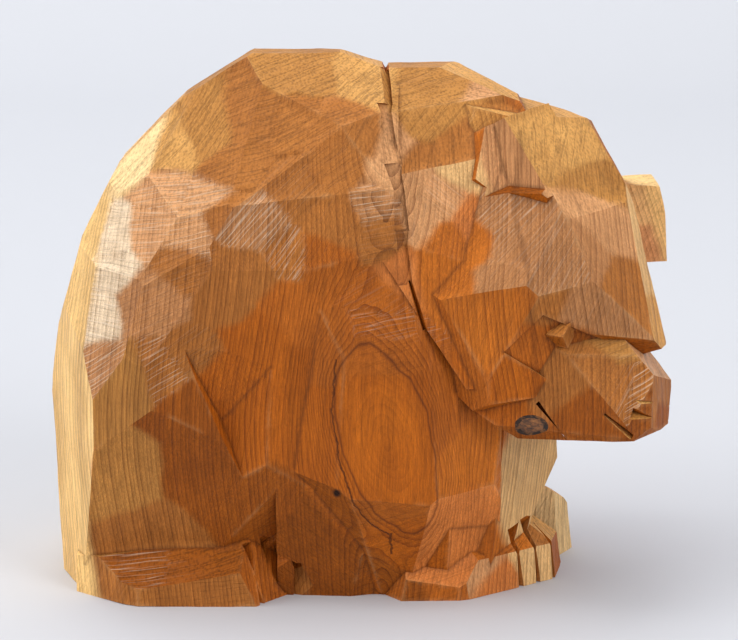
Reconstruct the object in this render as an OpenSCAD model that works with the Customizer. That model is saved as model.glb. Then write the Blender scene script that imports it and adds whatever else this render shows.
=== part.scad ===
// A crouching bear, chip-carved from one block of wood.
// +X is the way the bear faces, +Y its left side and +Z up. It stands on z = 0.

/* [Block] */
// Length from rump to nose
block_length = 172; // [162:1:182]
// Height from the base to the top of the hump
block_height = 147; // [140:1:154]
// Width over the flanks
block_width = 86; // [82:1:90]

/* [Head] */
// How far the head turns to the bear's right, degrees
head_turn = 36; // [32:1:40]
// How far the face dips, degrees
head_dip = 28; // [25:1:31]
// How far the head leans to its left, degrees
head_lean = 20; // [17:1:23]
// Distance from the middle of the head to the tip of the nose
face_length = 56; // [54:1:58]

/* [Paws] */
// Width of one toe of a forepaw
fore_toe = 6; // [5:0.5:7]
// Width of one toe of a hind paw
hind_toe = 5; // [4:0.5:6]
// Depth of the cut between two toes
toe_cut = 1.8; // [1.4:0.2:2.4]

// How far the left forepaw stands ahead of the right
left_paw_lead = 6; // [4:0.5:7]

/* [Knot] */
// Diameter of the dead branch that shows as a knot
knot_d = 4; // [3.5:0.5:5]
// Thickness of the bark around it
bark_t = 0.8; // [0.6:0.1:1]
// Depth that the knot runs into the jaw
knot_depth = 12; // [9:1:14]

/* [Hidden] */

wood = "peru";
dark_wood = "saddlebrown";
bark = [0.12, 0.08, 0.06];

// Proportions against the first carving, which was 172 x 86 x 147
long = block_length / 172;
wide = block_width / 86;
tall = block_height / 147;
stock = 320;

// Brings the middle of the base to the origin
to_centre = [2.8, 4.3, 0];

// The head's own frame: +X to the nose, +Y to its left ear, +Z to its crown
head_at = [52 * long, -14 * wide, 98 * tall];

// A flat is [turn, tip, place]: the way it faces, turned from +X and tipped up
// from level, and a point that it passes through.
module waste(flat) {
    translate(flat[2]) rotate([0, -flat[1], flat[0]]) translate([0, -stock, -stock]) cube(2 * stock);
}

// The solid left when a cube of stock is cut back to one flat after another
module chipped(flats, cuts) {
    difference() {
        if (cuts > 1) chipped(flats, cuts - 1);
        else cube(stock, center = true);
        waste(flats[cuts - 1]);
    }
}

module mass(flats) {
    chipped(flats, len(flats));
}

function scaled(p) = [p[0] * long, p[1] * wide, p[2] * tall];

function fit(flats) = [for (f = flats) [f[0], f[1], scaled(f[2])]];

// The same flats on the other side of the bear
function other_side(flats) = [for (f = flats) [-f[0], f[1], [f[2][0], -f[2][1], f[2][2]]]];

function both_sides(flats) = concat(flats, other_side(flats));

base_flat = [0, -90, [0, 0, 0]];

// Right side of the trunk, from the rump forward
rump_side = [
    [-157, 0, [-73, -39, 40]],
    [-150, 14, [-76, -30, 74]],
    [-146, 27, [-74, -25, 92]],
    [-128, 16, [-71, -37, 68]],
    [-127, 29, [-62, -28, 102]],
    [-138, 40, [-58, -10, 125]],
    [-135, -28, [-77, -31, 6]],
    [-106, 0, [-73, -39, 40]],
    [-86, -2, [-45, -42.5, 40]],
    [-103, 11, [-55, -42, 78]],
    [-112, 24, [-48, -37, 102]],
    [-118, 39, [-50, -13, 129.5]],
    [-103, 39, [-29, -15, 140]],
    [-90, 53, [-18, -6, 147]],
    [-92, 29, [-17, -28, 130.5]],
    [-90, 13, [-15, -40, 104]],
    [-90, 2, [-12, -43, 75]],
    [-94, -16, [-14, -42.5, 42]],
    [-74, -20, [0, -39, 24]],
    [-80, 36, [2, -33, 122]],
    [-70, 60, [6, -8, 142]]
];

rump_middle = [
    [180, -3, [-88.5, 0, 45]],
    [180, 9, [-87, 0, 62]],
    [180, 17, [-83, 0, 80]],
    [180, 27, [-77, 0, 99]],
    [180, 45, [-66, 0, 119]],
    [180, 58, [-51, 0, 134.5]],
    [0, 90, [-18, 0, 147]],
    [0, 72, [-7, 0, 147]],
    [0, 0, [9, 0, 60]],
    base_flat
];

module trunk() {
    mass(fit(concat(rump_middle, both_sides(rump_side))));
}

// Shoulder and foreleg, right side
shoulder_flats = [
    [-90, 0, [5, -43.5, 50]],
    [-92, -24, [5, -43.5, 31]],
    [-62, 2, [20, -42.5, 48]],
    [-60, -26, [20, -42, 30]],
    [-30, -4, [36.5, -32, 30]],
    [-104, 1, [-9, -43, 50]],
    [-108, 20, [-10, -42, 84]],
    [-114, -27, [-14, -41.5, 36]],
    [-90, 8, [5, -43.5, 70]],
    [-62, 12, [20, -42, 66]],
    [-58, 26, [16, -41, 90]],
    [-86, 30, [4, -39, 106]],
    [0, 0, [37, 0, 0]],
    [180, 0, [-30, 0, 0]],
    [90, 0, [0, 5, 0]],
    [0, 90, [0, 0, 128]],
    base_flat
];

module shoulder() {
    mass(fit(shoulder_flats));
}

// Belly and lower foreleg, right side
belly_flats = [
    [-92, -14, [5, -36.5, 28]],
    [-58, -12, [26, -34, 24]],
    [0, 0, [37, 0, 0]],
    [180, 0, [-12, 0, 0]],
    [90, 0, [0, 5, 0]],
    [0, 90, [0, 0, 36]],
    base_flat
];

module belly() {
    mass(fit(belly_flats));
}

// Chest between the forelegs
chest_flats = [
    [-38, -4, [46, -16, 30]],
    [-4, -24, [53.5, 0, 30]],
    [0, 4, [54, 0, 36]],
    [30, -6, [48, 16, 30]],
    [-90, 0, [0, -28, 0]],
    [90, 0, [0, 28, 0]],
    [180, 0, [0, 0, 0]],
    [0, 90, [0, 0, 70]],
    base_flat
];

module chest() {
    mass(fit(chest_flats));
}

// Forepaw, right side
forepaw_flats = [
    [-88, 8, [20, -35, 0]],
    [-140, 14, [9, -34, 0]],
    [-84, 30, [22, -34.5, 4]],
    [-72, 8, [30, -33.5, 0]],
    [-55, 10, [50, -19, 0]],
    [-55, 44, [45, -20.4, 10]],
    [-45, 58, [42, -22, 15]],
    [-12, 8, [55, -9, 0]],
    [90, 5, [50, -2.5, 0]],
    [180, 0, [5, 0, 0]],
    [-20, 84, [38, -16, 21]],
    base_flat
];

right_forepaw_flats = [
    [-8, 52, [47, -10, 15]]
];

// The left forepaw is higher, and cut back on its inner side
left_forepaw_flats = [
    [-8, 52, [50, -10, 17]],
    [30, 6, [57, -15, 0]]
];

module forepaw(side) {
    side_flats = side == 1 ? left_forepaw_flats : right_forepaw_flats;
    translate([side * left_paw_lead, 0, 0]) mass(fit(concat(forepaw_flats, side_flats)));
}

// Hind paw, right side
hindpaw_flats = [
    [-90, 4, [-45, -39.5, 0]],
    [-98, 42, [-45, -39, 7.5]],
    [-112, 4, [-67, -37.5, 0]],
    [-128, 4, [-77, -29.5, 0]],
    [180, 80, [-45, -37, 16.5]],
    [-60, 58, [-30, -35, 18]],
    [-40, 22, [-25, -34, 0]],
    [-20, 16, [-17, -24, 0]],
    [90, 0, [0, -10, 0]],
    [180, 0, [-80, 0, 0]],
    base_flat
];

module hindpaw() {
    mass(fit(hindpaw_flats));
}

// Right side of the nape, between the neck crease and the crown
nape_side = [
    [-90, 58, [15, -6, 143]],
    [-84, 38, [15, -20, 134.5]],
    [-80, 20, [19, -35.5, 108]],
    [-84, 8, [19, -39.5, 96]]
];

nape_middle = [
    [180, 0, [5, 0, 120]],
    [0, 90, [16, 0, 143]],
    [-20, 72, [24, 0, 142.5]],
    [10, 62, [36, 0, 138]],
    [0, 30, [43, 0, 133]],
    [0, 0, [44, 0, 110]],
    [180, -33, [12, 0, 85]],
    [0, -90, [0, 0, 62]]
];

module nape() {
    mass(fit(concat(nape_middle, both_sides(nape_side))));
}

// Right side of the skull and cheek, in the head's frame
skull_side = [
    [-136, 65, [-23, -9, 25]],
    [-50, 53, [-12, -1, 32]],
    [-38, 45, [18, -9, 11]],
    [-86, 12, [-4, -28, 0]],
    [-68, 16, [12, -26, 0]],
    [-48, -2, [27, -19, -6]],
    [-70, -4, [12, -29, -22]],
    [-46, 4, [24, -24, -22]],
    [-83, -28, [20, -20, -49]],
    [-100, 6, [-12, -33, -18]]
];

skull_middle = [
    [180, 76, [-32, 0, 26]],
    [0, 66, [-12, 0, 31.5]],
    [0, 50, [9, 0, 22]],
    [0, -6, [45, 0, -8]],
    [0, -40, [38, 0, -24]],
    [180, 0, [-36, 0, 0]],
    [180, -82, [21, 0, -49]]
];

// Space under the right brow, from the ledge down to the muzzle
brow_cut_flats = [
    [-138, 82, [30.2, -15.7, -14]],
    [136, 2, [26, -18, -8]],
    [0, -90, [0, 0, -30]],
    [0, 0, [60, 0, 0]],
    [-125, 10, [20, -26, -18]],
    [90, 0, [0, 0.5, 0]]
];

// Undercut of the right brow, from the eye to the bridge of the nose
ledge_cut_flats = [
    [154, 37, [30.2, -15.7, -14]],
    [0, -90, [0, 0, -30]],
    [180, 0, [29, 0, 0]],
    [90, 0, [0, 0.5, 0]]
];

// Right eye, the corner of a small cube left standing under the brow
module eye() {
    translate([24.5, -19, -18]) rotate([0, 0, -58]) rotate([0, 55, 0]) rotate([45, 0, 0])
        cube(5, center = true);
}

module skull() {
    difference() {
        mass(concat(skull_middle, both_sides(skull_side)));
        for (side = [0, 1]) mirror([0, side, 0]) {
            mass(brow_cut_flats);
            mass(ledge_cut_flats);
        }
    }
    for (side = [0, 1]) mirror([0, side, 0]) eye();
}

// Right side of the muzzle, in the head's frame
muzzle_side = [
    [-72, 20, [37, -15.5, -24]],
    [-80, 30, [40, -12, -16]],
    [-44, 20, [51, -8, -18]],
    [-78, -4, [45, -13.5, -28]],
    [-60, -30, [40, -14, -38]]
];

muzzle_middle = [
    [0, 76, [36, 0, -10]],
    [0, 32, [50.2, 0, -16]],
    [0, -8, [face_length, 0, -22]],
    [0, -51, [46, 0, -37]],
    [180, 0, [10, 0, 0]]
];

module muzzle() {
    mass(concat(muzzle_middle, both_sides(muzzle_side)));
}

// Right ear, laid back against the head
right_ear_flats = [
    [-82, 11, [-11, -31, 8]],
    [-50, 53, [-12, -1, 32]],
    [-166, 30, [-22, -27, 17]],
    [-120, -10, [-13, -31, -4]],
    [-55, -50, [-6, -27.5, 5]],
    [0, 0, [3, 0, 0]],
    [180, 0, [-27, 0, 0]],
    [90, 0, [0, -12, 0]]
];

// Left ear, standing clear of the head
left_ear_flats = [
    [80, 8, [0, 40, 20]],
    [31, 34, [11, 29.4, 19.3]],
    [30, 44, [5.6, 25, 27]],
    [-147, 56, [3.5, 22.9, 23.8]],
    [150, 20, [-8, 32, 20]],
    [-90, 10, [0, 20, 20]],
    [30, -50, [15, 30, 9]],
    [90, -60, [4, 34, 4]]
];

// Hollow of the right ear, a pocket that is deepest along its lower edge
ear_hollow_flats = [
    [131, -24, [-24, -28, 19]],
    [86, 20, [-24, -28, 19]],
    [52, -39, [-4, -31, 3.2]]
];

module in_head() {
    translate(head_at) rotate([0, 0, -head_turn]) rotate([0, head_dip, 0])
        rotate([-head_lean, 0, 0]) children();
}

// A straight V-shaped chisel cut from a to b. Its open side faces -Y until it is rolled.
module v_cut(a, b, width, depth, roll = 0) {
    run = b - a;
    length = norm(run);
    translate((a + b) / 2)
        rotate([0, -asin(run[2] / length), atan2(run[1], run[0])])
            rotate([roll, 0, 0]) rotate([90, 0, 90])
                linear_extrude(length, center = true)
                    polygon([[depth, 0], [-2 * depth, 1.5 * width], [-2 * depth, -1.5 * width]]);
}

// The cuts that part the lips, the jaw and the nostril on the right side
module face_cuts() {
    v_cut([39.5, -10.5, -40], [29.5, -16.5, -36.5], 1, 2.5);
    v_cut([45.5, -14, -28.5], [54, -10, -29], 1, 2);
    v_cut([50, -10.5, -24], [56, -8, -22], 2, 2);
    v_cut([49.5, -11, -21], [55, -5, -17.5], 1, 0.8);
}

module head() {
    difference() {
        in_head() difference() {
            union() {
                skull();
                muzzle();
                mass(right_ear_flats);
                mass(left_ear_flats);
            }
            mass(ear_hollow_flats);
            for (side = [0, 1]) mirror([0, side, 0]) face_cuts();
        }
        waste([0, -86, scaled([44, 0, 48.5])]);
        waste([180, -59, scaled([34.5, 0, 52])]);
    }
}

// Neck crease, right side: over the back of the neck and down to the jaw
module neck_cut() {
    v_cut(scaled([5.6, 9, 143]), scaled([5.7, -7, 143]), 1.6, 1.4, -90);
    v_cut(scaled([5.6, -6, 143]), scaled([6.7, -21, 134.9]), 1.6, 1.6, -62);
    v_cut(scaled([6.6, -20.5, 135]), scaled([8.7, -33, 120.4]), 1.4, 1.6, -36);
    v_cut(scaled([8.3, -32.5, 121]), scaled([10.7, -38.6, 104]), 1.6, 1.6, -20);
    v_cut(scaled([10.6, -38.4, 104.5]), scaled([11.8, -41.1, 90]), 1, 1.5, -8);
    v_cut(scaled([11.7, -41, 91]), scaled([15.8, -41.4, 78]), 1, 1.5, -12);
}

// Hollow between the haunch and the belly, right side
flank_hollow_flats = [
    [163, -20, [-38, -42, 48]],
    [77, 1, [-23, -42.5, 64]],
    [90, 12, [-34, -42.5, 70]],
    [-90, 0, [0, -60, 0]],
    [0, -90, [0, 0, 20]]
];

// Dead branch, from the jaw's face inward
module branch(d, depth) {
    in_head() translate([31.4, -15.4, -42.5]) rotate([0, 66, -33]) translate([0, 0, -depth])
        cylinder(d = d, h = depth + 6, $fn = 48);
}

// Cuts that part the toes of a paw, over the top and down the front. The row
// starts at the outer toe, and the toes point along the heading.
module toe_cuts(start, step, count, heading, toe_height, slope) {
    for (i = [0 : count - 1])
        translate(start + i * step) rotate([0, 0, heading]) {
            v_cut([-7, 0, toe_height + 7 * slope], [1, 0, toe_height - slope], toe_cut, toe_cut, -90);
            v_cut([0, 0, toe_height + 2], [1, 0, -1], toe_cut, toe_cut, -90);
        }
}

module forepaw_toes() {
    toe_cuts(scaled([43, -23, 0]), fore_toe * [0.82, 0.57, 0], 3, -50, 10, 0.8);
}

module hindpaw_toes() {
    toe_cuts(scaled([-28.5, -37, 0]), [hind_toe - 0.4, 3.6, 0], 3, -50, 8, 1);
}

// Facet cut in over the hind paw, right side
hock_flats = [
    [107, 30, [-43, -42, 28]],
    [-90, 0, [0, -60, 0]],
    [0, 0, [-24, 0, 0]],
    [180, 0, [-84, 0, 0]],
    [0, -90, [0, 0, 4]]
];

module carved_block() {
    color(wood) translate(to_centre) difference() {
        union() {
            difference() {
                trunk();
                for (side = [0, 1]) mirror([0, side, 0]) mass(fit(hock_flats));
            }
            nape();
            chest();
            for (side = [0, 1]) mirror([0, side, 0]) {
                shoulder();
                belly();
                hindpaw();
                forepaw(side);
            }
            head();
        }
        for (side = [0, 1]) mirror([0, side, 0]) {
            neck_cut();
            hindpaw_toes();
            translate([side * left_paw_lead, 0, 0]) forepaw_toes();
            mass(fit(flank_hollow_flats));
        }
        branch(knot_d + 2 * bark_t, knot_depth);
    }
}

module jaw_knot() {
    color(dark_wood) translate(to_centre) intersection() {
        branch(knot_d, knot_depth);
        head();
    }
}

module knot_bark() {
    color(bark) translate(to_centre) intersection() {
        difference() {
            branch(knot_d + 2 * bark_t, knot_depth);
            branch(knot_d, knot_depth);
        }
        head();
    }
}

carved_block();
jaw_knot();
knot_bark();
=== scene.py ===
import math

import bmesh
import bpy
import numpy as np
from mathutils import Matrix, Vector, noise
from mathutils.geometry import delaunay_2d_cdt


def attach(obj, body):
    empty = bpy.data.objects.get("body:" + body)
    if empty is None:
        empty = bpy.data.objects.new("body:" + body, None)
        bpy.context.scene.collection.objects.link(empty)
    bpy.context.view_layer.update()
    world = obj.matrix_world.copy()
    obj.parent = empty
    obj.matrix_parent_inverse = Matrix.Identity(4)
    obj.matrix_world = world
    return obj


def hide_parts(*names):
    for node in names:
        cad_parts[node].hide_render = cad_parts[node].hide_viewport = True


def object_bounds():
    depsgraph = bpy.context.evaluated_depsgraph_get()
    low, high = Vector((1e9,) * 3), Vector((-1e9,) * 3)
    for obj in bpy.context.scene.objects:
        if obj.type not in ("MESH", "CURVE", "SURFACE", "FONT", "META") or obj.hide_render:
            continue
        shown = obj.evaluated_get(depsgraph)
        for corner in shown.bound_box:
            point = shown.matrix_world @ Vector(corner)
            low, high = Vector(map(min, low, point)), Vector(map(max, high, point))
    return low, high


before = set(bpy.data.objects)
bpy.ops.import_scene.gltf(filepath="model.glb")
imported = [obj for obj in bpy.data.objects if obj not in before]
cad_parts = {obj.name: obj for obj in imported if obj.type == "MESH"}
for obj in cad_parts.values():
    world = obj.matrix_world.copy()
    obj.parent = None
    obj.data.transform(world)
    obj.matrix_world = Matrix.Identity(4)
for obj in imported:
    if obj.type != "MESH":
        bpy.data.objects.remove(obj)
cad_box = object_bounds()

MM = 0.001
noise.seed_set(7)

# ------------------------------------------------------------------ the carved surface

# Tones of the wood, as sRGB colours. Two are painted light: grey is a painted reflection, white a painted
# highlight
TONES = {
    "heart": (178, 98, 27),
    "orange": (190, 107, 30),
    "amber": (210, 126, 60),
    "red": (176, 94, 18),
    "dark": (152, 82, 18),
    "brown": (172, 108, 48),
    "olive": (182, 126, 62),
    "gold": (206, 152, 84),
    "peach": (208, 152, 102),
    # grey: painted reflection, the greyish cast of the studio's light on glossy chips
    "grey": (184, 128, 80),
    "pale": (230, 186, 126),
    "cream": (236, 202, 146),
    # white: painted highlight, the glare of the left lamp on glossy chips
    "white": (232, 208, 176),
    "sap": (248, 206, 136),
}

# Chips: flat chisel cuts, each with [a point on it in mm], its tone, its sheen, the direction
# of its tool marks in degrees, their width in mm, and the way it leans: right and up.
# Tool marks at 0 run level, and at 90 run up the facet. Where no chip is near, facet_look decides.
# Chips with a high sheen have light tones, white, grey and peach, that are painted highlight and reflection
# of the lamps; their sheen also paints pale streaks and rims in the material.
CHIPS = [
    ([-14, -9, 142], "olive", 0.3, 30, 5, 0, 0),
    ([3, -9, 140], "gold", 0.2, 40, 5, 0, 0),
    ([-28, -18, 131], "brown", 0.3, 30, 3, -0.02, 0),
    ([-33, -25, 120], "brown", 0.3, 28, 3, 0, 0.02),
    ([-15, -21, 131], "brown", 0.2, 32, 4, 0, 0.02),
    ([-6, -22, 130], "brown", 0.3, 35, 4, 0, 0),
    ([3, -25, 128], "brown", 0.3, 60, 4, 0, 0),
    ([-5, -30, 119], "brown", 0.4, 40, 3, 0, 0),
    ([-14, -33, 114], "brown", 0.5, 45, 3, 0, 0.03),
    ([-24, -35, 106], "grey", 0.9, 50, 2.2, -0.05, 0.05),
    ([-17, -37, 98], "brown", 0.8, 55, 2.5, -0.04, 0.02),
    ([-27, -38, 92], "brown", 0.4, 80, 4, 0, 0),
    ([5, -34, 111], "grey", 0.9, 8, 2.2, 0.03, 0.05),
    ([8, -36, 103], "brown", 0.5, 10, 2.5, 0, 0.02),
    ([-5, -35, 106], "brown", 0.4, 60, 4, 0, 0),
    ([-9, -37, 97], "heart", 0.4, 60, 4, 0, 0),
    ([-36, -33, 108], "brown", 0.4, 20, 3, 0.02, 0),
    ([-34, -38, 86], "brown", 0.3, 85, 4, 0, 0),
    ([-28, -38, 76], "red", 0.3, 85, 4, 0, 0),
    ([-43, -33, 103], "peach", 0.8, 15, 2.2, -0.03, 0.04),
    ([-39, -29, 111], "peach", 0.9, 15, 2.2, -0.03, 0.05),
    ([-48, -15, 122], "gold", 0.4, 60, 3, 0, 0.03),
    ([-40, -15, 126], "olive", 0.3, 75, 3, 0.02, 0),
    ([-52, -22, 113], "peach", 0.8, 10, 2.2, -0.02, 0.04),
    ([-54, -26, 104], "peach", 0.8, 10, 2.2, -0.02, 0.02),
    ([-60, -9, 119], "cream", 0.4, 70, 3, 0, 0),
    ([-71, -15, 98], "sap", 0.3, 75, 3, 0, 0),
    ([-66, -21, 99], "white", 0.9, 5, 2, -0.02, 0.03),
    ([-66, -26, 92], "white", 1.0, 0, 1.8, -0.03, 0.03),
    ([-68, -29, 79], "white", 1.0, 0, 1.8, -0.04, 0.02),
    ([-58, -35, 83], "grey", 0.5, 25, 3, 0.04, 0),
    ([-66, -34, 68], "grey", 0.9, 35, 2, -0.03, 0.02),
    ([-51, -36, 86], "grey", 0.5, 25, 3, 0, 0.02),
    ([-46, -36, 94], "brown", 0.5, 20, 2.5, 0, 0.02),
    ([-75, -18, 81], "sap", 0.4, 80, 4, 0, 0),
    ([-78, -17, 53], "sap", 0.3, 88, 4, 0, 0),
    ([-79, -14, 30], "sap", 0.2, 88, 4, 0, 0),
    ([-72, -26, 5], "brown", 0.2, 60, 4, 0, 0),
    ([-60, -38, 63], "olive", 0.3, 88, 4, 0, 0),
    ([-62, -34, 38], "olive", 0.2, 88, 4, -0.02, 0),
    ([-53, -28, 17], "brown", 0.2, 88, 4, 0, -0.03),
    ([-42, -35, 39], "dark", 0.3, 88, 4, 0.02, 0),
    ([-34, -33, 30], "dark", 0.3, 70, 4, 0, 0),
    ([-50, -39, 66], "brown", 0.8, 30, 2.5, 0.01, 0.03),
    ([-43, -38, 71], "brown", 0.5, 35, 3, 0, 0),
    ([-19, -38, 86], "heart", 0.3, 80, 4, 0, 0),
    ([-14, -37, 59], "red", 0.3, 85, 4, 0, 0),
    ([-22, -37, 59], "red", 0.3, 85, 4, 0, 0),
    ([-9, -37, 75], "heart", 0.4, 80, 4, 0, 0),
    ([7, -37, 86], "heart", 0.5, 30, 3, 0, 0.02),
    ([7, -38, 79], "heart", 0.7, 12, 2.5, 0, 0.04),
    ([7, -39, 74], "heart", 0.4, 20, 4, 0, 0),
    ([8, -39, 59], "red", 0.3, 85, 5, 0, 0),
    ([8, -39, 40], "red", 0.3, 85, 5, 0, 0),
    ([8, -38, 28], "heart", 0.2, 20, 4, 0, 0),
    ([10, -35, 21], "red", 0.2, 25, 4, 0, 0),
    ([-10, -38, 51], "red", 0.3, 88, 4, 0, 0),
    ([-4, -34, 25], "dark", 0.2, -40, 4, 0, 0),
    ([-34, -37, 65], "red", 0.3, 60, 4, 0, 0),
    ([-29, -36, 51], "red", 0.2, 80, 4, 0, 0),
    ([-44, -39, 57], "dark", 0.4, 80, 4, 0, 0),
    ([-25, -30, 22], "dark", 0.1, 40, 4, 0, 0),
    ([-1, -29, 8], "dark", 0.2, -40, 4, 0, 0),
    ([-15, -29, 11], "dark", 0.2, -40, 4, 0, 0),
    ([34, -29, 26], "amber", 0.3, 88, 4, 0, 0),
    ([29, -27, 16], "amber", 0.3, 70, 4, 0, 0),
    ([23, -38, 54], "heart", 0.3, 85, 4, 0, 0),
    ([32, -33, 41], "orange", 0.3, 85, 4, 0.02, 0),
    ([52, -8, 31], "pale", 0.2, 88, 4, 0, 0),
    ([28, -28, 7], "amber", 0.4, 20, 3, 0, 0),
    ([23, -30, 4], "heart", 0.3, 20, 4, 0, 0),
    ([40, -22, 4], "amber", 0.3, 80, 3, 0, 0),
    ([37, -24, 9], "peach", 0.3, 80, 3, 0, 0),
    ([48, -16, 7], "pale", 0.5, 80, 3, 0, 0),
    ([53, -13, 8], "pale", 0.5, 80, 3, 0, 0),
    ([60, 11, 10], "cream", 0.3, 80, 3, 0, 0),
    ([55, 8, 14], "cream", 0.3, 60, 3, 0, 0),
    ([16, -30, 3], "dark", 0.2, 10, 4, 0, 0),
    ([-34, -35, 4], "brown", 0.2, 5, 4, 0, 0),
    ([-56, -35, 3], "brown", 0.2, 5, 4, 0, 0),
    ([-24, -28, 7], "heart", 0.3, 60, 3, 0, 0),
    ([-59, -31, 9], "dark", 0.8, 10, 2.5, -0.03, 0),
    ([-45, -32, 9], "dark", 0.5, 15, 3, 0, 0),
    ([-42, -31, 13], "dark", 0.3, 20, 3, 0, 0),
    ([-34, -30, 14], "dark", 0.4, 25, 3, 0, 0.02),
    ([18, -10, 138], "olive", 0.2, 30, 5, 0, 0),
    ([26, -8, 139], "olive", 0.2, 20, 4, 0, 0),
    ([34, -10, 138], "peach", 0.5, -20, 2.5, 0.03, 0),
    ([20, -18, 131], "olive", 0.2, 50, 4, 0, 0),
    ([17, -27, 120], "brown", 0.4, 85, 3, -0.02, 0),
    ([27, -23, 124], "brown", 0.4, 85, 3, 0.02, 0),
    ([25, -30, 110], "peach", 0.6, -40, 2, 0.02, 0.04),
    ([18, -33, 105], "peach", 0.5, 80, 3, -0.03, 0.02),
    ([30, -30, 107], "amber", 0.4, 60, 3, 0, 0),
    ([22, -33, 101], "orange", 0.4, 70, 4, 0, 0),
    ([20, -36, 94], "orange", 0.4, 70, 4, 0, 0),
    ([32, -33, 101], "orange", 0.4, 60, 3, -0.02, 0),
    ([41, -36, 99], "grey", 0.6, 55, 2.5, 0, 0.02),
    ([36, -35, 106], "grey", 0.7, 50, 2.5, 0, 0.03),
    ([26, -38, 89], "orange", 0.4, 60, 4, -0.02, 0),
    ([38, -39, 92], "grey", 0.5, 60, 3, 0, 0),
    ([54, -38, 100], "grey", 0.6, 60, 2.5, 0, 0),
    ([67, -27, 105], "peach", 0.3, 80, 3, 0, 0),
    ([62, -38, 97], "grey", 0.4, 80, 3, 0, 0),
    ([70, -36, 88], "brown", 0.4, 80, 3, 0, 0),
    ([52, -14, 130], "gold", 0.3, 60, 3, -0.02, 0),
    ([60, -15, 122], "gold", 0.3, 50, 3, 0, 0),
    ([66, -19, 115], "olive", 0.3, 60, 3, 0.02, 0),
    ([61, -40, 84], "grey", 0.5, 70, 3, 0, 0),
    ([48, -42, 87], "brown", 0.4, 80, 3, 0, 0),
    ([35, -40, 81], "orange", 0.4, 70, 4, 0, 0),
    ([25, -38, 78], "heart", 0.3, 60, 4, 0, 0),
    ([47, -40, 74], "heart", 0.3, 85, 4, 0, 0),
    ([42, -41, 65], "red", 0.3, 85, 4, 0, 0),
    ([32, -39, 59], "heart", 0.3, 60, 4, 0, 0),
    ([39, -37, 56], "red", 0.3, 85, 4, 0, 0),
    ([54, -41, 62], "brown", 0.3, 85, 4, 0, 0),
    ([58, -43, 55], "dark", 0.3, 85, 4, 0, 0),
    ([64, -45, 55], "dark", 0.3, 85, 4, 0, 0),
    ([65, -41, 69], "brown", 0.4, 70, 3, 0, 0),
    ([70, -42, 65], "brown", 0.5, 60, 3, 0, 0),
    ([75, -43, 64], "brown", 0.9, 30, 2.5, 0.02, 0.02),
    ([69, -38, 73], "olive", 0.5, 20, 3, 0, 0),
    ([79, -31, 69], "peach", 0.6, 20, 3, 0, 0),
    ([83, -34, 61], "brown", 0.5, 80, 3, 0, 0),
    ([74, -46, 54], "dark", 0.3, 30, 3, 0, 0),
    ([44, -38, 50], "dark", 0.1, 30, 3, 0, 0),
    ([81, -30, 77], "gold", 0.3, 85, 3, 0, 0),
    ([76, -25, 94], "pale", 0.3, 85, 3, 0, 0),
    ([81, 3, 105], "pale", 0.3, 60, 3, 0, 0),
    ([82, -4, 93], "peach", 0.3, 60, 3, 0, 0),
    ([38, -23, 126], "peach", 0.3, 85, 3, 0, 0),
    ([46, -29, 121], "peach", 0.3, 85, 3, 0, 0),
    ([36, -25, 120], "peach", 0.3, 85, 3, 0, 0),
    ([41, -28, 114], "dark", 0.1, 30, 3, 0, 0),
    ([31, -26, 119], "pale", 0.3, 80, 3, 0, 0),
    ([34, -18, 131], "olive", 0.3, 60, 3, 0, 0),
    ([56, -38, 75], "dark", 0.2, 60, 3, 0, 0),
    ([54, -40, 74], "dark", 0.2, 60, 3, 0, 0),
    ([55, -42, 78], "brown", 0.2, 60, 3, 0, 0),
    ([54, -41, 79], "brown", 0.2, 60, 3, 0, 0),
    ([79, -42, 59], "brown", 0.3, 80, 3, 0, 0),
    ([82, -37, 53], "dark", 0.3, 80, 3, 0, 0),
    ([77, -43, 52], "dark", 0.3, 80, 3, 0, 0),
    ([75, -44, 57], "dark", 0.3, 80, 3, 0, 0),
    ([47, 0, 133], "gold", 0.3, 60, 3, 0, 0),
    ([28, 3, 142], "gold", 0.3, 60, 3, 0, 0),
    ([10, -29, 119], "peach", 0.3, 80, 3, 0, 0),
    ([9, -24, 125], "peach", 0.3, 80, 3, 0, 0),
    ([13, -36, 93], "amber", 0.3, 80, 3, 0, 0),
    ([21, -38, 70], "heart", 0.3, 80, 3, 0, 0),
    ([-37, -37, 55], "red", 0.3, 80, 3, 0, 0),
]

WARP_MM = 0.4                            # how far the hand wanders
WARP_SCALE = 0.045                       # per mm: how slowly it wanders
STROKE_MM = 4.0                          # width of a tool mark where CHIPS says nothing
STROKE_DEPTH_MM = 0.11                   # depth of a tool mark of FULL_STROKE_MM or more
FULL_STROKE_MM = 4.0
CHIP_DEPTH_MM = 0.3                      # depth at the middle of a chip that leans
CHIP_REACH_MM = 22.0                     # past this a chip has no say
CHIP_BLEND_MM = 1.6                      # its look changes over this width
FADE_MM = 1.6                            # tool marks fade out this near a facet's outline
RIM_TURN = math.radians(12)              # facets that turn more than this share a rim: lighter on an edge, for wear and painted highlight, darker in a crease, for dirt and painted shade
CREASE_TURN = math.radians(7)            # and more than this a crisp one
SAME_PLANE = math.radians(17)            # a chip runs on over facets that turn less than this
BASE = -0.99                             # a normal's z below this is the base's


def warped(p):
    """The hand's unsteadiness: moves a point, in mm, by a fraction of a millimetre."""
    wander = noise.noise_vector(Vector(p) * WARP_SCALE) * WARP_MM
    ripple = noise.noise_vector(Vector(p) * WARP_SCALE * 5.0) * WARP_MM * 0.3
    return Vector(p) + wander + ripple


def plane_axes(normal):
    """Two unit vectors in a facet: level, and up its slope."""
    level = Vector((0, 0, 1)).cross(normal)
    if level.length < 0.05:
        level = Vector((0, 1, 0)).cross(normal)
    level.normalize()
    return level, normal.cross(level)


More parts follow.
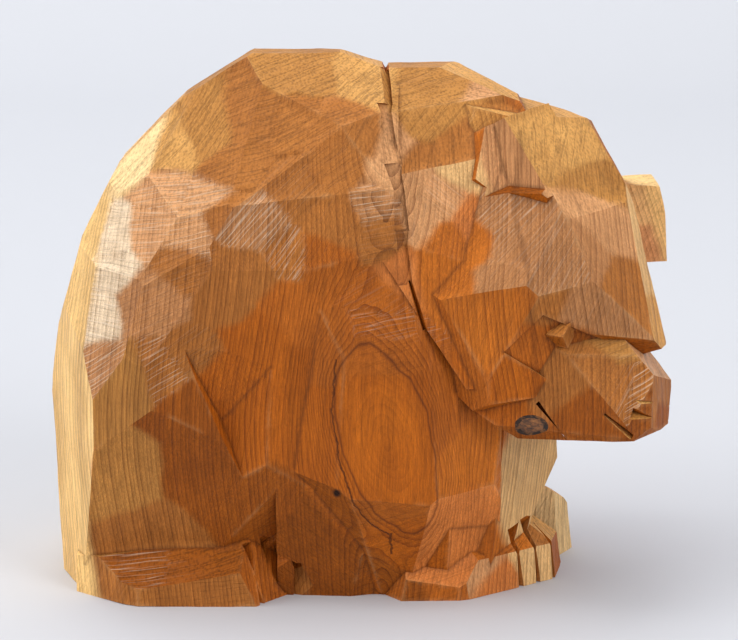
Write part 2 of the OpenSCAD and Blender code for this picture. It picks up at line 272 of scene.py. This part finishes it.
def inside(points, corners):
    """Which 2-D points lie inside a polygon, and how far each is from its outline."""
    x, y = points[:, 0], points[:, 1]
    odd = np.zeros(len(points), bool)
    away = np.full(len(points), 1e9)
    for a, b in zip(corners, np.roll(corners, -1, axis=0)):
        if a[1] != b[1]:
            crosses = (a[1] > y) != (b[1] > y)
            at = (b[0] - a[0]) * (y - a[1]) / (b[1] - a[1]) + a[0]
            odd ^= crosses & (x < at)
        run = b - a
        t = np.clip(((points - a) @ run) / max(run @ run, 1e-12), 0, 1)
        gap = points - (a + t[:, None] * run)
        away = np.minimum(away, np.hypot(gap[:, 0], gap[:, 1]))
    return odd, away


def planar_faces(node):
    """A CAD node's flat faces as polygons, in mm."""
    bm = bmesh.new()
    bm.from_mesh(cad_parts[node].data)
    bmesh.ops.scale(bm, vec=(1 / MM,) * 3, verts=bm.verts)
    bmesh.ops.remove_doubles(bm, verts=bm.verts, dist=0.002)
    bmesh.ops.dissolve_limit(bm, angle_limit=math.radians(0.6), verts=bm.verts, edges=bm.edges)
    bm.normal_update()
    return bm


class Surface:
    """A finely divided copy of a CAD node, in mm."""

    def __init__(self):
        self.points, self.rim, self.facet_of_point, self.depth = [], [], [], []
        self.tris, self.facet_of_tri, self.normals = [], [], []

    def point(self, place, facet=-1, depth=0.0):
        """Adds a point. Only one that lies inside a facet names it, with its depth from the outline."""
        self.points.append(place)
        self.rim.append(0.0)
        self.facet_of_point.append(facet)
        self.depth.append(depth)
        return len(self.points) - 1


def divide_edges(surface, bm, spacing):
    """Puts points along every edge, and marks each sharp one as a convex edge, which the material lightens
    for wear and painted highlight, or a crease, which it darkens for dirt and painted shade. Gives the row
    of points of each edge.
    """
    for v in bm.verts:
        surface.point(v.co.copy())
    rows = {}
    for e in bm.edges:
        a, b = e.verts
        count = max(1, round(e.calc_length() / spacing))
        between = [surface.point(a.co.lerp(b.co, i / count)) for i in range(1, count)]
        rows[e.index] = [a.index, *between, b.index]
    for e in bm.edges:
        if len(e.link_faces) == 2 and e.calc_face_angle() > RIM_TURN:
            for index in rows[e.index]:
                surface.rim[index] = 1.0 if e.is_convex else -1.0
    return rows


def grid_in(outline, step):
    """A grid of triangles' corners inside a 2-D outline, and how far each is from it."""
    low, high = outline.min(0), outline.max(0)
    rise = step * math.sqrt(3) / 2
    lines = []
    for j in range(int((high[1] - low[1]) / rise) + 1):
        xs = np.arange(low[0] + (0.25 + 0.5 * (j % 2)) * step, high[0], step)
        lines.append(np.column_stack([xs, np.full(len(xs), low[1] + (j + 0.5) * rise)]))
    grid = np.concatenate(lines)
    if not len(grid):
        return grid, np.zeros(0)
    keep, away = inside(grid, outline)
    keep &= away > 0.55 * step
    return grid[keep], away[keep]


def hewn(node, spacing):
    """A finely divided copy of a CAD node. Its facets keep their exact planes and outlines."""
    bm = planar_faces(node)
    bm.verts.index_update()
    surface = Surface()
    rows = divide_edges(surface, bm, spacing)
    for facet, f in enumerate(bm.faces):
        normal = f.normal.copy()
        surface.normals.append(normal)
        level, up = plane_axes(normal)
        ring = []
        for loop in f.loops:
            row = rows[loop.edge.index]
            ring.extend(row[:-1] if row[0] == loop.vert.index else row[:0:-1])
        outline = np.array([(surface.points[i].dot(level), surface.points[i].dot(up)) for i in ring])
        height = surface.points[ring[0]].dot(normal)
        grid, away = grid_in(outline, spacing * (3.0 if normal.z < BASE else 1.0))
        index = list(ring)
        for (u, v), depth in zip(grid, away):
            index.append(surface.point(level * u + up * v + normal * height, facet, float(depth)))
        flat = [Vector(p) for p in outline] + [Vector(p) for p in grid]
        made = delaunay_2d_cdt(flat, [], [list(range(len(ring)))], 1, 1e-5)
        corners, faces, sources = made[0], made[2], made[3]
        lookup = []
        for (u, v), source in zip(corners, sources):
            if source:
                lookup.append(index[source[0]])
            else:
                lookup.append(surface.point(level * u + up * v + normal * height, facet))
        for face in faces:
            ids = [lookup[i] for i in face]
            if len(set(ids)) == len(ids):
                surface.tris.append(ids)
                surface.facet_of_tri.append(facet)
    bm.free()
    return surface


def facet_look(index, normal):
    """How a facet looks when CHIPS says nothing of it."""
    pick = noise.noise(Vector((index * 1.7, 0.4, 0.0)))
    # Facets facing up get lighter tones, partly end grain and partly painted light from above; facets
    # facing down get darker ones, which are painted shade.
    if normal.z > 0.7:
        tone = "olive" if pick < 0.1 else "gold"
    elif normal.z < -0.3:
        tone = "dark" if pick < 0.1 else "red"
    else:
        tone = "heart" if pick < -0.1 else "orange" if pick < 0.2 else "brown"
    angle = 40 + 60 * noise.noise(Vector((0.3, index * 2.3, 5.0)))
    return tone, 0.35, angle, STROKE_MM, 0.0, 0.0


class Chips:
    """The chips of a surface. Each facet is a chip too, for the places that no listed one reaches."""

    def __init__(self, surface, listed):
        self.normals = list(surface.normals)
        self.looks = [facet_look(i, n) for i, n in enumerate(self.normals)]
        self.centres = [None] * len(self.normals)
        self.listed = []
        self.on_facet = {}
        owners = np.array(surface.facet_of_point)
        pool = np.array([tuple(p) for p in surface.points])[owners >= 0]
        owners = owners[owners >= 0]
        for place, *look in listed:
            nearest = np.argmin(((pool - np.array(place)) ** 2).sum(1))
            self.listed.append(len(self.looks))
            self.looks.append(tuple(look))
            self.centres.append(Vector(place))
            self.normals.append(surface.normals[int(owners[nearest])])

    def round_about(self, point, facet):
        """The chips round a point of a facet, as [distance, chip], nearest first. Their outlines are
        ragged, as where a chisel breaks out. Past CHIP_REACH_MM the facet's own look takes over."""
        if facet not in self.on_facet:
            normal = self.normals[facet]
            near = [c for c in self.listed if self.normals[c].angle(normal) < SAME_PLANE]
            self.on_facet[facet] = near
        p = Vector(point)
        p += noise.noise_vector(p * 0.10) * 1.6 + noise.noise_vector(p * 0.7) * 0.5
        found = [((self.centres[chip] - p).length, chip) for chip in self.on_facet[facet]]
        return sorted(found + [(CHIP_REACH_MM, facet)])

    def at(self, point, facet):
        return self.round_about(point, facet)[0][1]

    def axes(self, chip, facet_normal):
        """The facet's level and up-slope directions, then those across and along the chip's tool marks."""
        level, up = plane_axes(facet_normal)
        turn = math.radians(self.looks[chip][2])
        across = level * -math.sin(turn) + up * math.cos(turn)
        along = level * math.cos(turn) + up * math.sin(turn)
        return level, up, across, along

    def colour(self, chip):
        """A chip's colour, a little lighter or darker than its tone, and its sheen."""
        tone, sheen = self.looks[chip][:2]
        shade = 1 + 0.12 * noise.noise(Vector((chip * 1.3, 7.7, 1.1)))
        return (*(c * shade for c in rgb(*TONES[tone])), sheen)

    def colour_at(self, point, facet):
        """The colour and sheen at a point. Across a chip's outline they change over CHIP_BLEND_MM."""
        found = self.round_about(point, facet)
        if len(found) == 1:
            return self.colour(found[0][1])
        (gap, first), (next_gap, second) = found[:2]
        share = 0.5 + 0.5 * min(1.0, (next_gap - gap) / CHIP_BLEND_MM)
        return [share * a + (1 - share) * b for a, b in zip(self.colour(first), self.colour(second))]


def cut_back(point, facet, depth, surface, chips):
    """A point inside a facet, sunk by the chip and the tool mark that it lies in."""
    chip = chips.at(point, facet)
    width, lean_right, lean_up = chips.looks[chip][3:]
    level, up, across, along = chips.axes(chip, surface.normals[facet])
    u, v = point.dot(across), point.dot(along)
    drift = noise.noise(Vector((u / 9.0, v / 25.0, chip * 3.7))) * 0.9
    phase = (u / width + drift) % 1.0
    hollow = 1 - (2 * phase - 1) ** 2
    sink = hollow * STROKE_DEPTH_MM * min(1.0, width / FULL_STROKE_MM)
    if lean_right or lean_up:
        away = point - chips.centres[chip]
        sink += max(0.0, CHIP_DEPTH_MM + away.dot(level) * lean_right + away.dot(up) * lean_up)
    return point - surface.normals[facet] * (sink * min(1.0, depth / FADE_MM))


def carve(node, name, spacing, listed=()):
    """Builds the visible piece that stands for a CAD node."""
    surface = hewn(node, spacing)
    chips = Chips(surface, listed)
    low, high = (np.array(c) / MM for c in cad_box)
    moved = []
    for point, facet, depth in zip(surface.points, surface.facet_of_point, surface.depth):
        if listed and facet >= 0 and surface.normals[facet].z > BASE:
            point = cut_back(point, facet, depth, surface, chips)
        moved.append(np.clip(warped(point), low, high) * MM)
    mesh = bpy.data.meshes.new(name)
    mesh.from_pydata([tuple(p) for p in moved], [], surface.tris)
    mesh.polygons.foreach_set("use_smooth", [True] * len(mesh.polygons))
    home = np.array([tuple(p) for p in surface.points])
    middles = [home[ids].mean(0) for ids in surface.tris]
    chip_of_tri = [chips.at(middle, facet) for middle, facet in zip(middles, surface.facet_of_tri)]
    add_rims(mesh, surface, chips, chip_of_tri)
    add_looks(mesh, surface, chips, chip_of_tri)
    sharpen(mesh, surface, chip_of_tri)
    piece = bpy.data.objects.new(name, mesh)
    bpy.context.scene.collection.objects.link(piece)
    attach(piece, "root")
    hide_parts(node)
    return piece


def add_rims(mesh, surface, chips, chip_of_tri):
    """Stores on the mesh, for its material, a rim value for each point: 1 on an edge, -1 in a crease. Edges
    are lightened with it, for wear and painted highlight, and creases darkened, for dirt and painted shade.
    """
    touching = [set() for _ in surface.points]
    for ids, chip in zip(surface.tris, chip_of_tri):
        for i in ids:
            touching[i].add(chip)
    rim = list(surface.rim)
    for i, around in enumerate(touching):
        # Where chips meet, the rim grows with their sheen: a painted highlight along a glossy chip's
        # outline.
        if rim[i] == 0 and len(around) > 1:
            rim[i] = 0.8 * max(chips.looks[chip][1] for chip in around) - 0.2
    mesh.attributes.new("rim", "FLOAT", "POINT").data.foreach_set("value", rim)


def add_looks(mesh, surface, chips, chip_of_tri):
    """Stores on the mesh, for its material: tint, which is the colour and the sheen, and cut,
    which is the place across and along the tool marks."""
    tint = mesh.attributes.new("tint", "FLOAT_COLOR", "CORNER")
    cut = mesh.attributes.new("cut", "FLOAT_VECTOR", "CORNER")
    axes = [chips.axes(chip, normal)[2:] for chip, normal in enumerate(chips.normals)]
    seen = {}
    colours, cuts = [], []
    for poly, facet, chip in zip(mesh.polygons, surface.facet_of_tri, chip_of_tri):
        across, along = axes[chip]
        for vert in poly.vertices:
            p = surface.points[vert]
            if (vert, facet) not in seen:
                seen[vert, facet] = chips.colour_at(p, facet)
            colours.extend(seen[vert, facet])
            cuts.extend((p.dot(across), p.dot(along), chip * 17.0 % 101))
    tint.data.foreach_set("color", colours)
    cut.data.foreach_set("vector", cuts)


def sharpen(mesh, surface, chip_of_tri):
    """Keeps edges crisp between facets, and between chips."""
    bm = bmesh.new()
    bm.from_mesh(mesh)
    for e in bm.edges:
        if len(e.link_faces) == 2:
            a, b = (f.index for f in e.link_faces)
            normals = [surface.normals[surface.facet_of_tri[i]] for i in (a, b)]
            e.smooth = normals[0].angle(normals[1]) < CREASE_TURN and chip_of_tri[a] == chip_of_tri[b]
    bm.to_mesh(mesh)
    bm.free()


def rgb(r, g, b):
    """An sRGB colour, 0 to 255, as Blender's linear one."""
    shares = (c / 255 for c in (r, g, b))
    return tuple(c / 12.92 if c <= 0.04 else ((c + 0.055) / 1.055) ** 2.4 for c in shares)


# ------------------------------------------------------------------ materials


class Nodes:
    """Short ways to add shader nodes. A number, a vector or another node's output will do as an input."""

    def __init__(self, name):
        self.material = bpy.data.materials.new(name)
        self.material.use_nodes = True
        self.tree = self.material.node_tree
        self.tree.nodes.clear()

    def feed(self, socket, value):
        if isinstance(value, bpy.types.NodeSocket):
            self.tree.links.new(value, socket)
        else:
            socket.default_value = value

    def add(self, kind, settings=None, **inputs):
        node = self.tree.nodes.new(kind)
        for key, value in (settings or {}).items():
            setattr(node, key, value)
        for key, value in inputs.items():
            self.feed(node.inputs[key.replace("_", " ")], value)
        return node

    def math(self, operation, a, b=0.0, clamp=False):
        node = self.add("ShaderNodeMath", {"operation": operation, "use_clamp": clamp})
        for socket, value in zip(node.inputs, (a, b)):
            self.feed(socket, value)
        return node.outputs[0]

    def vector(self, operation, a, b):
        node = self.add("ShaderNodeVectorMath", {"operation": operation})
        self.feed(node.inputs[0], a)
        self.feed(node.inputs[1], b)
        return node.outputs["Vector"]

    def noise(self, at, detail, rough=0.5, scale=1.0):
        node = self.add("ShaderNodeTexNoise", Vector=at, Scale=scale, Detail=detail, Roughness=rough)
        return node.outputs["Fac"]

    def grain(self, place, stretch, detail, rough=0.5):
        """Noise with so many spots per unit of length along x, y and z."""
        return self.noise(self.vector("MULTIPLY", place, stretch), detail, rough)

    def attribute(self, name):
        return self.add("ShaderNodeAttribute", {"attribute_name": name}).outputs

    def place(self):
        return self.add("ShaderNodeTexCoord").outputs["Object"]

    def dim(self, colour, share):
        """A colour times a number."""
        return self.mix(1.0, colour, self.join(share, share, share), "MULTIPLY")

    def gap(self, value, level):
        """How far a value is from a level, either way."""
        return self.math("ABSOLUTE", self.math("SUBTRACT", value, level))

    def range(self, value, a, b, c=0.0, d=1.0, smooth=False):
        settings = {"interpolation_type": "SMOOTHSTEP" if smooth else "LINEAR", "clamp": True}
        node = self.add("ShaderNodeMapRange", settings)
        for socket, number in zip(node.inputs, (value, a, b, c, d)):
            self.feed(socket, number)
        return node.outputs[0]

    def mix(self, fac, a, b, blend="MIX"):
        node = self.add("ShaderNodeMix", {"data_type": "RGBA", "blend_type": blend})
        self.feed(node.inputs["Factor"], fac)
        for key, value in (("A", a), ("B", b)):
            socket = [s for s in node.inputs if s.name == key and s.type == "RGBA"][0]
            self.feed(socket, value)
        return [s for s in node.outputs if s.type == "RGBA"][0]

    def ramp(self, fac, stops):
        node = self.add("ShaderNodeValToRGB", Fac=fac)
        elements = node.color_ramp.elements
        elements[0].position, elements[0].color = stops[0][0], (*stops[0][1], 1)
        elements[1].position, elements[1].color = stops[-1][0], (*stops[-1][1], 1)
        for place, colour in stops[1:-1]:
            e = elements.new(place)
            e.color = (*colour, 1)
        return node.outputs["Color"]

    def split(self, vector):
        return self.add("ShaderNodeSeparateXYZ", Vector=vector).outputs

    def join(self, x, y, z):
        return self.add("ShaderNodeCombineXYZ", X=x, Y=y, Z=z).outputs[0]

    def finish(self, colour, rough, height=None, bump=0.4, lift=0.0002, **fixed):
        shader = self.add("ShaderNodeBsdfPrincipled")
        self.feed(shader.inputs["Base Color"], colour)
        self.feed(shader.inputs["Roughness"], rough)
        for key, value in fixed.items():
            shader.inputs[key.replace("_", " ")].default_value = value
        if height is not None:
            node = self.add("ShaderNodeBump", Strength=bump, Distance=lift, Height=height)
            self.feed(shader.inputs["Normal"], node.outputs[0])
        out = self.add("ShaderNodeOutputMaterial")
        self.tree.links.new(shader.outputs[0], out.inputs["Surface"])
        return self.material


PITH_X, PITH_Y = 0.0082, -0.0250         # the middle of the trunk
RING = 0.00115                           # one year's growth
SWELL_Z = 0.050                          # the height where the rings bulge out furthest
SAP_FROM = 0.082                         # sapwood starts at this distance from the pith
OVAL_X, OVAL_Z = 0.0085, 0.048           # middle of the oval on the shoulder
OVAL_WIDE, OVAL_TALL = 0.0120, 0.0265    # and half its width and height
OVAL_LEAN = 0.2
NESTED = 9.0                             # rings round the oval, for each of its half-widths

# Lines on the right side, as [x, z] in mm
SHOULDER_CRACK = [[-5, 70], [-6, 56], [-4, 42], [0, 30], [4, 24], [9.5, 20]]
CHEST_CHECK = [[9.5, 20.5], [10, 14]]
BROW_STREAK = [[44, 128], [42, 108], [46, 92], [48, 60]]
PIN_KNOT = [[-5, 33], [-4.6, 33.6]]


def wood_rings(n, place):
    """The ring that a point lies in, as a number with its fraction, and its distance from the pith
    in metres. The trunk narrows away from SWELL_Z, so a cut beside the pith shows ovals there."""
    x, y, z = n.split(place)
    slow = n.vector("MULTIPLY", place, (16, 16, 6))
    sway_x = n.math("MULTIPLY", n.math("SUBTRACT", n.noise(slow, 1), 0.5), 0.004)
    other = n.vector("ADD", slow, (31, 7, 3))
    sway_y = n.math("MULTIPLY", n.math("SUBTRACT", n.noise(other, 1), 0.5), 0.002)
    dx = n.math("ADD", n.math("SUBTRACT", x, PITH_X), sway_x)
    dy = n.math("ADD", n.math("SUBTRACT", y, PITH_Y), sway_y)
    out = n.math("SQRT", n.math("ADD", n.math("MULTIPLY", dx, dx), n.math("MULTIPLY", dy, dy)))
    rise = n.math("SUBTRACT", z, SWELL_Z)
    rise = n.math("MULTIPLY", rise, rise)
    narrower = n.math("ADD", n.math("MULTIPLY", rise, 500), 1.0)
    out = n.math("ADD", out, n.math("DIVIDE", n.math("MULTIPLY", rise, 5.0), narrower))
    years = n.noise(n.join(n.math("MULTIPLY", out, 260), 0.0, 0.0), 2)
    number = n.math("ADD", n.math("DIVIDE", out, RING), n.math("MULTIPLY", years, 2.0))
    return number, out


def oval(n, place):
    """Under 1 inside the plain oval on the right shoulder, where the cut only grazes the rings."""
    x, y, z = n.split(place)
    wander = n.grain(place, (75, 75, 50), 3)
    lean = n.math("MULTIPLY", n.math("SUBTRACT", z, OVAL_Z), OVAL_LEAN)
    across = n.math("DIVIDE", n.math("ADD", n.math("SUBTRACT", x, OVAL_X), lean), OVAL_WIDE)
    up = n.math("DIVIDE", n.math("SUBTRACT", z, OVAL_Z), OVAL_TALL)
    far = n.math("SQRT", n.math("ADD", n.math("MULTIPLY", across, across), n.math("MULTIPLY", up, up)))
    far = n.math("ADD", far, n.math("MULTIPLY", n.math("SUBTRACT", wander, 0.5), 0.45))
    elsewhere = n.math("GREATER_THAN", y, -0.030)
    return n.math("ADD", far, n.math("MULTIPLY", elsewhere, 9))


def scratch(n, place, points, width):
    """1 on a line through points of [x, z] in mm on the bear's right side, and 0 beside it."""
    wander = n.grain(place, (420, 420, 420), 2)
    x, y, z = n.split(place)
    x = n.math("ADD", x, n.math("MULTIPLY", n.math("SUBTRACT", wander, 0.5), 0.0016))
    near = None
    for (ax, az), (bx, bz) in zip(points, points[1:]):
        ax, az, bx, bz = (c * MM for c in (ax, az, bx, bz))
        rx, rz = bx - ax, bz - az
        long = rx * rx + rz * rz
        px, pz = n.math("SUBTRACT", x, ax), n.math("SUBTRACT", z, az)
        t = n.math("ADD", n.math("MULTIPLY", px, rx / long), n.math("MULTIPLY", pz, rz / long), clamp=True)
        gx = n.math("SUBTRACT", px, n.math("MULTIPLY", t, rx))
        gz = n.math("SUBTRACT", pz, n.math("MULTIPLY", t, rz))
        gap = n.math("SQRT", n.math("ADD", n.math("MULTIPLY", gx, gx), n.math("MULTIPLY", gz, gz)))
        near = gap if near is None else n.math("MINIMUM", near, gap)
    mark = n.range(near, width * 0.4, width, 1.0, 0.0)
    return n.math("MULTIPLY", mark, n.math("LESS_THAN", y, -0.015))


def year_lines(n, number, far, end_grain):
    """The dark line at the end of each year's growth, and the ring's number, bent round the oval."""
    beyond = n.range(far, 1.05, 1.9, smooth=True)
    nested = n.math("ADD", n.math("MULTIPLY", far, NESTED), 2.0)
    nested = n.math("MULTIPLY", nested, n.math("SUBTRACT", 1.0, beyond))
    number = n.math("ADD", n.math("MULTIPLY", number, beyond), nested)
    one_year = n.noise(n.join(n.math("FLOOR", number), 3.3, 0.0), 0, scale=1.37)
    line = n.math("POWER", n.math("FRACT", number), 2.2)
    line = n.math("MULTIPLY", line, n.range(one_year, 0.3, 0.7, 0.45, 1.0))
    line = n.math("MULTIPLY", line, n.range(end_grain, 0.0, 1.0, 1.0, 0.2))
    return n.math("MULTIPLY", line, n.range(far, 0.86, 0.98, 0.35, 1.0)), number


def heart_and_sap(n, place, tint, number, out, end_grain):
    """The wood's colour without its lines: the chips' tones, and sapwood far from the pith."""
    broad = n.grain(place, (38, 38, 14), 3, 0.6)
    edge = n.math("ADD", out, n.math("MULTIPLY", n.math("SUBTRACT", broad, 0.5), 0.012))
    sap = n.range(edge, SAP_FROM, SAP_FROM + 0.004, smooth=True)
    base = n.mix(sap, tint, (*rgb(*TONES["sap"]), 1))
    bands = n.noise(n.join(n.math("MULTIPLY", number, 0.22), 0.0, 9.1), 2, 0.6)
    warm = n.mix(n.range(bands, 0.32, 0.68), (1.14, 1.10, 1.05, 1), (0.88, 0.82, 0.76, 1))
    base = n.mix(n.range(end_grain, 0.0, 1.0, 0.9, 0.2), base, n.mix(1.0, base, warm, "MULTIPLY"))
    cloud = n.grain(place, (90, 90, 60), 3, 0.6)
    patchy = n.mix(n.range(cloud, 0.3, 0.7), (0.86, 0.82, 0.78, 1), (1.12, 1.14, 1.16, 1))
    return n.mix(0.8, base, n.mix(1.0, base, patchy, "MULTIPLY")), cloud


class ToolMarks:
    """What the chisel leaves, each from 0 to 1: dark grooves, crests, swells and fine ridges. The crests
    also carry pale streaks, partly torn fibres and partly painted highlight.
    """

    def __init__(self, n):
        cut = n.attribute("cut")["Vector"]
        wave = n.grain(cut, (0.55, 0.030, 1.0), 2)
        self.groove = n.range(n.gap(wave, 0.5), 0.0, 0.040, 1.0, 0.0)
        across = n.math("DIVIDE", n.split(cut)[0], 1.25)
        phase = n.math("FRACT", n.math("ADD", across, n.math("MULTIPLY", wave, 3.0)))
        self.crest = n.range(n.gap(phase, 0.5), 0.30, 0.48)
        self.swell = n.grain(cut, (1.10, 0.030, 1.3), 1)
        self.fine = n.grain(cut, (5.0, 0.10, 1.0), 2, 0.6)
        self.chatter = n.grain(cut, (0.30, 1.2, 1.0), 2)


def grain_tone(n, place, fibre, fuzz, groove, end_grain):
    """How much lighter or darker the fibres make the wood, seen side-on or at their ends."""
    streak = n.grain(place, (800, 800, 20), 3, 0.55)
    side = n.math("MULTIPLY", n.range(fibre, 0.32, 0.70, 0.74, 1.16), n.range(streak, 0.3, 0.7, 0.86, 1.12))
    side = n.math("MULTIPLY", side, n.range(groove, 0.0, 1.0, 1.0, 0.91))
    cells = n.vector("MULTIPLY", place, (1300, 1300, 420))
    pores = n.add("ShaderNodeTexVoronoi", Vector=cells, Scale=1.0).outputs["Distance"]
    end = n.math("MULTIPLY", n.range(pores, 0.1, 0.6, 0.70, 1.10), n.range(groove, 0.0, 1.0, 1.04, 0.70))
    both = n.add("ShaderNodeMix", {"data_type": "FLOAT"}, Factor=end_grain, A=side, B=end).outputs[0]
    return n.math("MULTIPLY", both, n.range(fuzz, 0.3, 0.7, 0.88, 1.12))


def wear_glint_dirt_shade(n, toned, cloud):
    """Edges a little lighter, for wear and painted highlight, and creases a little darker, for dirt and
    painted shade.
    """
    rim = n.attribute("rim")["Fac"]
    rubbed_and_glint = n.math("MULTIPLY", n.range(rim, 0.1, 1.0, 0.0, 0.12), n.range(cloud, 0.45, 0.65))
    # The pale rim colour is partly wear and partly painted highlight.
    toned = n.mix(rubbed_and_glint, toned, (*rgb(232, 190, 136), 1))
    # The crease colour is partly dirt and partly painted shade.
    return n.mix(n.range(rim, -0.1, -1.0, 0.0, 0.45), toned, (*rgb(70, 34, 14), 1))


def cracks(n, place):
    crack = scratch(n, place, SHOULDER_CRACK, 0.0003)
    crack = n.math("MAXIMUM", crack, scratch(n, place, CHEST_CHECK, 0.0004))
    streak = n.math("MULTIPLY", scratch(n, place, BROW_STREAK, 0.0011), 0.35)
    return n.math("MAXIMUM", crack, streak)


def wood(name):
    n = Nodes(name)
    place = n.place()
    look = n.attribute("tint")
    tint, sheen = look["Color"], look["Alpha"]
    normal = n.add("ShaderNodeNewGeometry").outputs["Normal"]
    end_grain = n.range(n.math("ABSOLUTE", n.split(normal)[2]), 0.40, 0.68)
    marks = ToolMarks(n)
    far = oval(n, place)
    number, out = wood_rings(n, place)
    line, number = year_lines(n, number, far, end_grain)
    base, cloud = heart_and_sap(n, place, tint, number, out, end_grain)
    late = n.mix(1.0, base, (0.40, 0.31, 0.24, 1), "MULTIPLY")
    toned = n.mix(n.math("MULTIPLY", line, 0.85, clamp=True), base, late)
    fibre = n.grain(place, (4200, 4200, 150), 3, 0.6)
    fuzz = n.grain(place, (3300, 3300, 1500), 2, 0.6)
    toned = n.dim(toned, grain_tone(n, place, fibre, fuzz, marks.groove, end_grain))
    # Pale streaks on tool-mark crests where the sheen is high: partly lighter torn fibres, partly a painted
    # highlight of the lamps on glossy chips.
    torn_fibre_glint = n.math("MULTIPLY", marks.crest, n.range(marks.fine, 0.38, 0.62))
    torn_fibre_glint = n.math("MULTIPLY", torn_fibre_glint, n.range(sheen, 0.45, 1.0, 0.0, 0.62))
    toned = n.mix(torn_fibre_glint, toned, (*rgb(236, 214, 188), 1))
    toned = wear_glint_dirt_shade(n, toned, cloud)
    round_oval = n.range(n.gap(far, 1.0), 0.0, 0.035, 0.55, 0.0)
    toned = n.mix(round_oval, toned, (*rgb(84, 38, 14), 1))
    crack = cracks(n, place)
    toned = n.mix(n.math("MULTIPLY", crack, 0.75), toned, (*rgb(66, 30, 12), 1))
    toned = n.mix(scratch(n, place, PIN_KNOT, 0.0014), toned, (*rgb(40, 22, 14), 1))
    height = n.math("MULTIPLY", marks.swell, 0.7)
    for what, share in (
        (marks.groove, -0.35),
        (marks.crest, n.range(sheen, 0.3, 1.0, 0.10, 0.40)),
        (marks.fine, 0.30),
        (marks.chatter, 0.20),
        (fibre, 0.25),
        (fuzz, 0.20),
        (line, -0.12),
        (crack, -1.0),
    ):
        height = n.math("ADD", height, n.math("MULTIPLY", what, share))
    rough = n.math("ADD", n.range(sheen, 0.0, 1.0, 0.62, 0.32), n.range(marks.swell, 0.3, 0.7, -0.06, 0.10))
    rough = n.math("ADD", rough, n.math("MULTIPLY", line, -0.05), clamp=True)
    return n.finish(toned, rough, height, bump=0.75, lift=0.0003, Specular_IOR_Level=0.16)


def knot_wood(name):
    n = Nodes(name)
    place = n.place()
    spot = n.grain(place, (700, 700, 700), 3, 0.6)
    rings = n.grain(place, (300, 300, 1200), 2)
    colour = n.ramp(spot, [(0.3, rgb(60, 34, 16)), (0.55, rgb(112, 68, 32)), (0.75, rgb(146, 94, 48))])
    colour = n.dim(colour, n.range(n.gap(rings, 0.5), 0.0, 0.05, 0.35, 1.1))
    return n.finish(colour, n.range(spot, 0.3, 0.7, 0.45, 0.65), spot, bump=0.5)


def bark_wood(name):
    n = Nodes(name)
    place = n.place()
    crumbs = n.grain(place, (1500, 1500, 1500), 4, 0.7)
    worn_off = n.range(n.grain(place, (380, 380, 700), 2, 0.6), 0.50, 0.60)
    colour = n.ramp(crumbs, [(0.35, rgb(22, 14, 9)), (0.65, rgb(58, 36, 22))])
    colour = n.mix(worn_off, colour, (*rgb(112, 70, 34), 1))
    return n.finish(colour, n.range(crumbs, 0.3, 0.7, 0.7, 0.95), crumbs, bump=0.9, lift=0.0004)


bear = carve("carved_block", "bear", 1.05, CHIPS)
knot = carve("jaw_knot", "knot", 0.5)
bark = carve("knot_bark", "bark_ring", 0.4)
bear.data.materials.append(wood("yew"))
knot.data.materials.append(knot_wood("dead_knot"))
bark.data.materials.append(bark_wood("black_bark"))

# ------------------------------------------------------------------ floor, light and camera


FLOOR_WIDE, FLOOR_FRONT, FLOOR_BACK = 4.0, -2.0, 1.0
BEND_RADIUS, BEND_STEPS = 0.6, 16
WALL_TOP = 3.0


def studio():
    """A sheet of pale paper that runs back, bends up and stands as a wall."""
    rows = [(FLOOR_FRONT + (FLOOR_BACK - FLOOR_FRONT) * i / BEND_STEPS, 0.0) for i in range(BEND_STEPS)]
    for i in range(BEND_STEPS + 1):
        a = math.pi / 2 * i / BEND_STEPS
        rows.append((FLOOR_BACK + BEND_RADIUS * math.sin(a), BEND_RADIUS - BEND_RADIUS * math.cos(a)))
    rows.append((FLOOR_BACK + BEND_RADIUS, WALL_TOP))
    verts = [(x, y, z) for y, z in rows for x in (-FLOOR_WIDE, FLOOR_WIDE)]
    faces = [(2 * i, 2 * i + 1, 2 * i + 3, 2 * i + 2) for i in range(len(rows) - 1)]
    mesh = bpy.data.meshes.new("floor")
    mesh.from_pydata(verts, [], faces)
    mesh.polygons.foreach_set("use_smooth", [True] * len(faces))
    floor = bpy.data.objects.new("floor", mesh)
    bpy.context.scene.collection.objects.link(floor)
    mesh.materials.append(Nodes("paper").finish((*rgb(204, 206, 211), 1), 0.9))


def lamp(name, place, target, size, watts):
    light = bpy.data.lights.new(name, "AREA")
    light.shape = "RECTANGLE"
    light.size, light.size_y = size
    light.energy = watts
    o = bpy.data.objects.new(name, light)
    o.location = place
    o.rotation_euler = (Vector(target) - Vector(place)).to_track_quat("-Z", "Y").to_euler()
    bpy.context.scene.collection.objects.link(o)


def camera():
    lens = bpy.data.cameras.new("camera")
    lens.sensor_width = 36.0
    lens.lens = 112.4
    lens.clip_start = 0.05
    target = Vector((0.0038, 0.0043, 0.071))
    tip = math.radians(13)
    back = Vector((0, -math.cos(tip), math.sin(tip)))
    o = bpy.data.objects.new("camera", lens)
    o.location = target + back * 0.65
    o.rotation_euler = (-back).to_track_quat("-Z", "Y").to_euler()
    bpy.context.scene.collection.objects.link(o)
    bpy.context.scene.camera = o


studio()
lamp("left", (-3.0, -0.8, 1.6), (0, 0, 0.07), (2.0, 2.0), 47.0)
lamp("right", (2.6, -2.4, 1.8), (0, 0, 0.07), (1.8, 1.8), 50.0)
lamp("top", (-0.5, 0.3, 3.2), (0, 0, 0.05), (2.4, 2.0), 42.0)
camera()
world = bpy.data.worlds.new("studio")
world.use_nodes = True
world.node_tree.nodes["Background"].inputs["Color"].default_value = (0.985, 0.985, 1.0, 1)
world.node_tree.nodes["Background"].inputs["Strength"].default_value = 0.70
bpy.context.scene.world = world
bpy.context.scene.view_settings.view_transform = "Standard"
